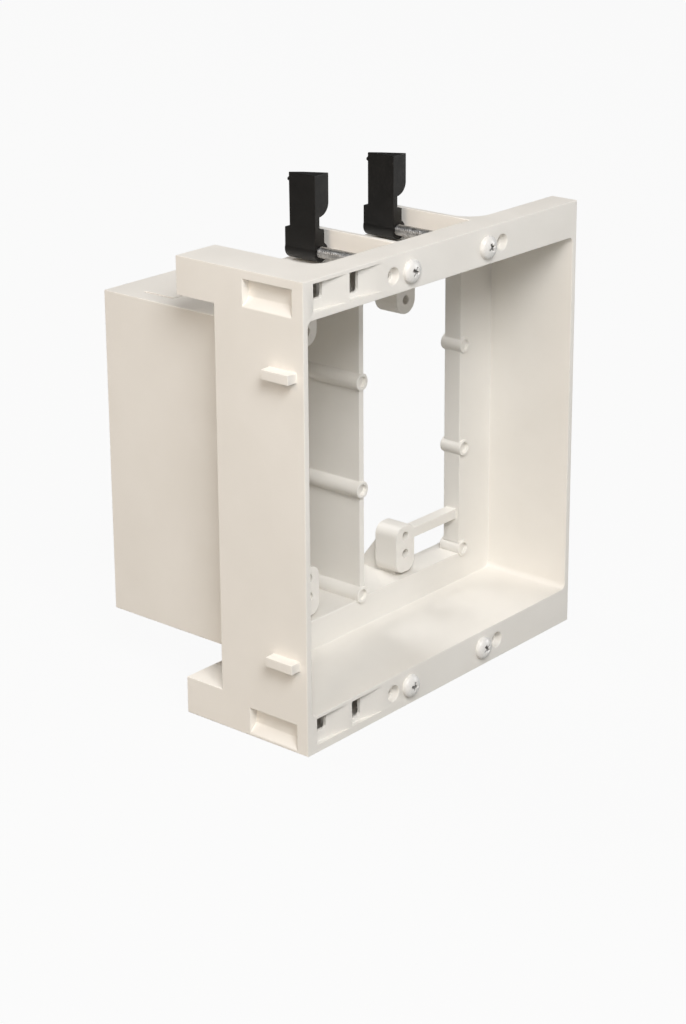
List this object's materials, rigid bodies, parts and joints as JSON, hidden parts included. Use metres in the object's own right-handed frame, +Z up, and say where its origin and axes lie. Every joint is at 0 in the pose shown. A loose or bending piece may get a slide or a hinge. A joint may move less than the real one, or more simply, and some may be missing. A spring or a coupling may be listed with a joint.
{
  "type": "recessed two-gang wall box",
  "caption": "Recessed two-gang wall box with a closed power side, an open low-voltage side and swing-out clamping wings on long screws.",
  "frame": {"origin": "middle of the underside of the box's bounding box, where the box stands on its bottom flange", "axes": "+X along the front to the right seen from the room, +Y into the wall, +Z up; the open front faces -Y and the stud is at -X"},
  "size_m": [0.1316, 0.0903, 0.1572],
  "materials": {
    "housing_plastic": "moulded satin",
    "wing_nylon": "semi-gloss",
    "screw_steel": "white enamel head on a zinc shank"
  },
  "bodies": {
    "housing": {"housing": "housing_plastic"},
    "screw_top_left": {"wing_screw_top_left": "screw_steel"},
    "wing_top_left": {"wing_top_left": "wing_nylon"},
    "screw_top_right": {"wing_screw_top_right": "screw_steel"},
    "wing_top_right": {"wing_top_right": "wing_nylon"},
    "screw_bottom_left": {"wing_screw_bottom_left": "screw_steel"},
    "wing_bottom_left": {"wing_bottom_left": "wing_nylon"},
    "screw_bottom_right": {"wing_screw_bottom_right": "screw_steel"},
    "wing_bottom_right": {"wing_bottom_right": "wing_nylon"}
  },
  "joints": [
    {"name": "swing_top_left", "type": "hinge", "parent": "housing", "child": "screw_top_left", "pos_m": [-0.01615, -0.04285, 0.134], "axis": [0, 1, 0], "range_deg": [-90, 0]},
    {"name": "draw_top_left", "type": "slide", "parent": "screw_top_left", "child": "wing_top_left", "axis": [0, -1, 0], "range_m": [0, 0.0234]},
    {"name": "swing_top_right", "type": "hinge", "parent": "housing", "child": "screw_top_right", "pos_m": [0.01965, -0.04285, 0.134], "axis": [0, 1, 0], "range_deg": [-90, 0]},
    {"name": "draw_top_right", "type": "slide", "parent": "screw_top_right", "child": "wing_top_right", "axis": [0, -1, 0], "range_m": [0, 0.0234]},
    {"name": "swing_bottom_left", "type": "hinge", "parent": "housing", "child": "screw_bottom_left", "pos_m": [-0.01615, -0.04285, 0.006], "axis": [0, 1, 0], "range_deg": [0, 90]},
    {"name": "draw_bottom_left", "type": "slide", "parent": "screw_bottom_left", "child": "wing_bottom_left", "axis": [0, -1, 0], "range_m": [0, 0.0234]},
    {"name": "swing_bottom_right", "type": "hinge", "parent": "housing", "child": "screw_bottom_right", "pos_m": [0.01965, -0.04285, 0.006], "axis": [0, 1, 0], "range_deg": [0, 90]},
    {"name": "draw_bottom_right", "type": "slide", "parent": "screw_bottom_right", "child": "wing_bottom_right", "axis": [0, -1, 0], "range_m": [0, 0.0234]}
  ]
}
